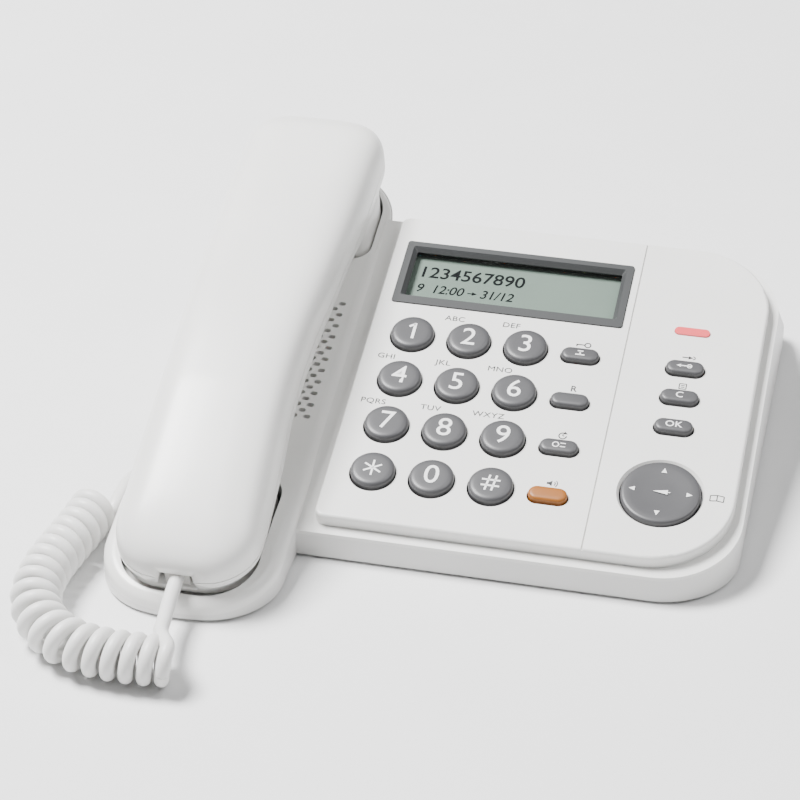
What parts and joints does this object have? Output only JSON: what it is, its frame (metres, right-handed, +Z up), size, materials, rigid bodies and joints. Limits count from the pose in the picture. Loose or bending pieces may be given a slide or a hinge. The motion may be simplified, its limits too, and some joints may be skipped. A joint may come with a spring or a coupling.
{
  "type": "corded desk telephone",
  "caption": "Corded desk telephone: handset in a side cradle, sloping key panel with display, oval function keys, rocking navigator disc and a short curly handset cord",
  "frame": {"origin": "centre of the footprint of the case on the desk, cord left out", "axes": "X to the user's right, Y to the rear of the telephone, Z up"},
  "size_m": [0.2119, 0.2342, 0.0737],
  "materials": {
    "case_plastic": "warm white moulded plastic, satin gloss",
    "key_plastic": "mid grey, satin",
    "orange_key": "orange, satin",
    "bezel_plastic": "dark grey frame",
    "window": "clear display window",
    "lcd": "pale grey-green liquid crystal panel",
    "board": "green circuit board",
    "silicone": "silicone key mat",
    "lamp": "translucent pink-red lamp bar",
    "black_parts": "black moulded part",
    "steel": "zinc plated steel",
    "foot_rubber": "soft foot",
    "copper": "plated spring contact",
    "cell": "plain battery sleeve",
    "cord_white": "soft white cord sheath",
    "plug_clear": "translucent modular plug"
  },
  "bodies": {
    "base": {"lower_case": "case_plastic", "upper_case": "case_plastic", "display_bezel": "bezel_plastic", "display_window": "window", "lcd_panel": "lcd", "main_circuit_board": "board", "keypad_mat": "silicone", "message_lamp": "lamp", "base_speaker": "black_parts", "ballast_weight": "steel", "rubber_feet": "foot_rubber", "case_screws": "steel", "hook_spring": "steel", "line_jack": "black_parts", "cord_jack": "black_parts", "batteries": "cell", "battery_contacts": "copper", "base_plug": "plug_clear", "curly_cord": "cord_white", "cord_tail_side": "cord_white"},
    "handset": {"handset_top_shell": "case_plastic", "handset_bottom_shell": "case_plastic", "earpiece_speaker": "black_parts", "microphone": "black_parts", "handset_weight": "steel", "handset_jack": "black_parts", "handset_screws": "steel", "handset_plug": "plug_clear", "cord_tail_front": "cord_white"},
    "hook_plunger": {"hook_plunger": "case_plastic"},
    "navigator_pivot": {"navigator_pivot": "black_parts"},
    "navigator_key": {"navigator_key": "key_plastic"},
    "battery_cover": {"battery_cover": "case_plastic"},
    "ringer_switch": {"ringer_switch": "black_parts"},
    "key_1": {"key_1": "key_plastic"},
    "key_2": {"key_2": "key_plastic"},
    "key_3": {"key_3": "key_plastic"},
    "key_4": {"key_4": "key_plastic"},
    "key_5": {"key_5": "key_plastic"},
    "key_6": {"key_6": "key_plastic"},
    "key_7": {"key_7": "key_plastic"},
    "key_8": {"key_8": "key_plastic"},
    "key_9": {"key_9": "key_plastic"},
    "key_star": {"key_star": "key_plastic"},
    "key_0": {"key_0": "key_plastic"},
    "key_hash": {"key_hash": "key_plastic"},
    "dial_mode_key": {"dial_mode_key": "key_plastic"},
    "flash_key": {"flash_key": "key_plastic"},
    "redial_key": {"redial_key": "key_plastic"},
    "speaker_key": {"speaker_key": "orange_key"},
    "log_key": {"log_key": "key_plastic"},
    "clear_key": {"clear_key": "key_plastic"},
    "ok_key": {"ok_key": "key_plastic"}
  },
  "joints": [
    {"name": "handset_lift", "type": "slide", "parent": "base", "child": "handset", "axis": [0, -0.2385, 0.9711], "range_m": [0, 0.07]},
    {"name": "hook_plunger_rise", "type": "slide", "parent": "base", "child": "hook_plunger", "axis": [0, -0.2385, 0.9711], "range_m": [0, 0.004]},
    {"name": "key_1_press", "type": "slide", "parent": "base", "child": "key_1", "axis": [0, 0.2385, -0.9711], "range_m": [0, 0.0015], "stiffness_N_per_m": 300, "springref_m": -0.0008},
    {"name": "key_2_press", "type": "slide", "parent": "base", "child": "key_2", "axis": [0, 0.2385, -0.9711], "range_m": [0, 0.0015], "stiffness_N_per_m": 300, "springref_m": -0.0008},
    {"name": "key_3_press", "type": "slide", "parent": "base", "child": "key_3", "axis": [0, 0.2385, -0.9711], "range_m": [0, 0.0015], "stiffness_N_per_m": 300, "springref_m": -0.0008},
    {"name": "key_4_press", "type": "slide", "parent": "base", "child": "key_4", "axis": [0, 0.2385, -0.9711], "range_m": [0, 0.0015], "stiffness_N_per_m": 300, "springref_m": -0.0008},
    {"name": "key_5_press", "type": "slide", "parent": "base", "child": "key_5", "axis": [0, 0.2385, -0.9711], "range_m": [0, 0.0015], "stiffness_N_per_m": 300, "springref_m": -0.0008},
    {"name": "key_6_press", "type": "slide", "parent": "base", "child": "key_6", "axis": [0, 0.2385, -0.9711], "range_m": [0, 0.0015], "stiffness_N_per_m": 300, "springref_m": -0.0008},
    {"name": "key_7_press", "type": "slide", "parent": "base", "child": "key_7", "axis": [0, 0.2385, -0.9711], "range_m": [0, 0.0015], "stiffness_N_per_m": 300, "springref_m": -0.0008},
    {"name": "key_8_press", "type": "slide", "parent": "base", "child": "key_8", "axis": [0, 0.2385, -0.9711], "range_m": [0, 0.0015], "stiffness_N_per_m": 300, "springref_m": -0.0008},
    {"name": "key_9_press", "type": "slide", "parent": "base", "child": "key_9", "axis": [0, 0.2385, -0.9711], "range_m": [0, 0.0015], "stiffness_N_per_m": 300, "springref_m": -0.0008},
    {"name": "key_star_press", "type": "slide", "parent": "base", "child": "key_star", "axis": [0, 0.2385, -0.9711], "range_m": [0, 0.0015], "stiffness_N_per_m": 300, "springref_m": -0.0008},
    {"name": "key_0_press", "type": "slide", "parent": "base", "child": "key_0", "axis": [0, 0.2385, -0.9711], "range_m": [0, 0.0015], "stiffness_N_per_m": 300, "springref_m": -0.0008},
    {"name": "key_hash_press", "type": "slide", "parent": "base", "child": "key_hash", "axis": [0, 0.2385, -0.9711], "range_m": [0, 0.0015], "stiffness_N_per_m": 300, "springref_m": -0.0008},
    {"name": "dial_mode_key_press", "type": "slide", "parent": "base", "child": "dial_mode_key", "axis": [0, 0.2385, -0.9711], "range_m": [0, 0.0015], "stiffness_N_per_m": 300, "springref_m": -0.0008},
    {"name": "flash_key_press", "type": "slide", "parent": "base", "child": "flash_key", "axis": [0, 0.2385, -0.9711], "range_m": [0, 0.0015], "stiffness_N_per_m": 300, "springref_m": -0.0008},
    {"name": "redial_key_press", "type": "slide", "parent": "base", "child": "redial_key", "axis": [0, 0.2385, -0.9711], "range_m": [0, 0.0015], "stiffness_N_per_m": 300, "springref_m": -0.0008},
    {"name": "speaker_key_press", "type": "slide", "parent": "base", "child": "speaker_key", "axis": [0, 0.2385, -0.9711], "range_m": [0, 0.0015], "stiffness_N_per_m": 300, "springref_m": -0.0008},
    {"name": "log_key_press", "type": "slide", "parent": "base", "child": "log_key", "axis": [0, 0.2385, -0.9711], "range_m": [0, 0.0015], "stiffness_N_per_m": 300, "springref_m": -0.0008},
    {"name": "clear_key_press", "type": "slide", "parent": "base", "child": "clear_key", "axis": [0, 0.2385, -0.9711], "range_m": [0, 0.0015], "stiffness_N_per_m": 300, "springref_m": -0.0008},
    {"name": "ok_key_press", "type": "slide", "parent": "base", "child": "ok_key", "axis": [0, 0.2385, -0.9711], "range_m": [0, 0.0015], "stiffness_N_per_m": 300, "springref_m": -0.0008},
    {"name": "navigator_up_down", "type": "hinge", "parent": "base", "child": "navigator_pivot", "pos_m": [0.0689, -0.03151, 0.02043], "axis": [1, 0, 0], "range_deg": [-3, 3], "stiffness_Nm_per_rad": 0.02},
    {"name": "navigator_left_right", "type": "hinge", "parent": "navigator_pivot", "child": "navigator_key", "pos_m": [0.0689, -0.03151, 0.02043], "axis": [0, 0.9711, 0.2385], "range_deg": [-3, 3], "stiffness_Nm_per_rad": 0.02},
    {"name": "battery_cover_slide", "type": "slide", "parent": "base", "child": "battery_cover", "axis": [0, 0, -1], "range_m": [0, 0.03]},
    {"name": "ringer_switch_slide", "type": "slide", "parent": "base", "child": "ringer_switch", "axis": [1, 0, 0], "range_m": [0, 0.007]}
  ],
  "couplings": [
    {"joint": "hook_plunger_rise", "follows": "handset_lift", "ratio": 0.05714}
  ]
}
